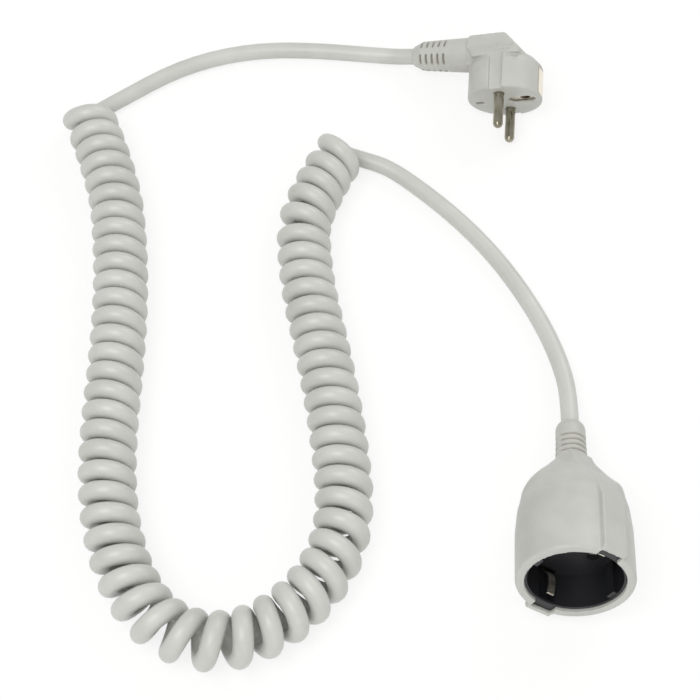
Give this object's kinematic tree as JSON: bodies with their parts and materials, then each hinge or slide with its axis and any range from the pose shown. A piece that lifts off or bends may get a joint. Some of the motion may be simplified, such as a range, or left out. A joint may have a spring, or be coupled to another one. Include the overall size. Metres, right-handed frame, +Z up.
{
  "type": "extension cord",
  "caption": "White curly extension cord with an angled earthed two-pin plug, a straight lead at each end and an inline earthed coupling socket with a dark insert.",
  "frame": {"origin": "bottom centre of the coupling's bounding box, on the table", "axes": "+Z up, -Y out of the coupling's mouth, +X to the coupling's right as seen from its mouth"},
  "size_m": [0.2697, 0.3337, 0.056],
  "materials": {
    "white_pvc": "satin",
    "cable_jacket": "satin",
    "black_plastic": "satin",
    "grey_plastic": "matte",
    "nickel": "bright",
    "steel": "satin",
    "brass": "bright",
    "brown_core": "satin",
    "blue_core": "satin",
    "earth_core": "satin"
  },
  "bodies": {
    "cord_set": {"coupling_cover": "white_pvc", "socket_insert": "black_plastic", "contact_carrier": "grey_plastic", "live_contact": "brass", "neutral_contact": "brass", "earth_bracket": "nickel", "shutter_spring": "steel", "coupling_clamp": "steel", "coupling_cable_end": "cable_jacket", "coupling_live_core": "brown_core", "coupling_neutral_core": "blue_core", "coupling_earth_core": "earth_core", "coupling_lead": "cable_jacket", "curly_cord": "cable_jacket", "plug_lead": "cable_jacket", "plug_body": "white_pvc", "live_pin": "nickel", "neutral_pin": "nickel", "earth_strip": "nickel", "earth_socket": "brass", "pin_carrier": "grey_plastic", "plug_clamp": "steel", "plug_cable_end": "cable_jacket", "plug_live_core": "brown_core", "plug_neutral_core": "blue_core", "plug_earth_core": "earth_core"},
    "shutter": {"shutter": "grey_plastic"}
  },
  "joints": [
    {"name": "shutter_turn", "type": "hinge", "parent": "cord_set", "child": "shutter", "pos_m": [0, -0.01759, 0.02639], "axis": [0, 0.9744, -0.225], "range_deg": [0, 42], "stiffness_Nm_per_rad": 0.001, "springref_deg": -20.05}
  ]
}
